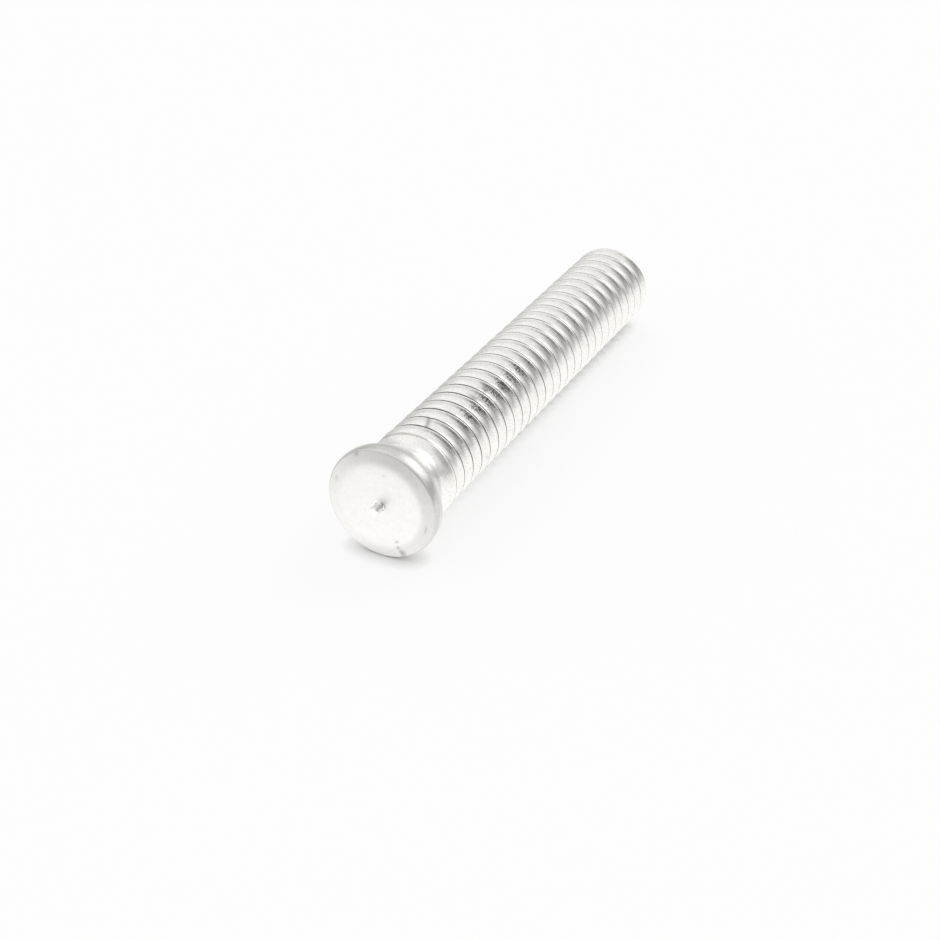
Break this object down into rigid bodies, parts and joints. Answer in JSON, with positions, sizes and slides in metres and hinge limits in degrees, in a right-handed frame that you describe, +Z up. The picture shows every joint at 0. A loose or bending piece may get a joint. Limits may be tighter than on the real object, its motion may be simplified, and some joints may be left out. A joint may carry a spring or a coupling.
{
  "type": "weld stud",
  "caption": "Threaded weld stud of bright aluminium with a round flange, a small ignition tip on its weld face and a plain neck below the thread.",
  "frame": {"origin": "on the surface the stud lies on, below the middle of its outline", "axes": "+Z up; +X along the stud from its flange to its thread end, as it lies on the rim of its flange and the last turn of its thread"},
  "size_m": [0.0388, 0.0078, 0.0079],
  "materials": {
    "bright_aluminium": "bright cold-formed and thread-rolled aluminium, satin on the weld face, with fine rolling marks on the thread"
  },
  "bodies": {
    "root": {"weld_stud": "bright_aluminium"}
  },
  "joints": []
}
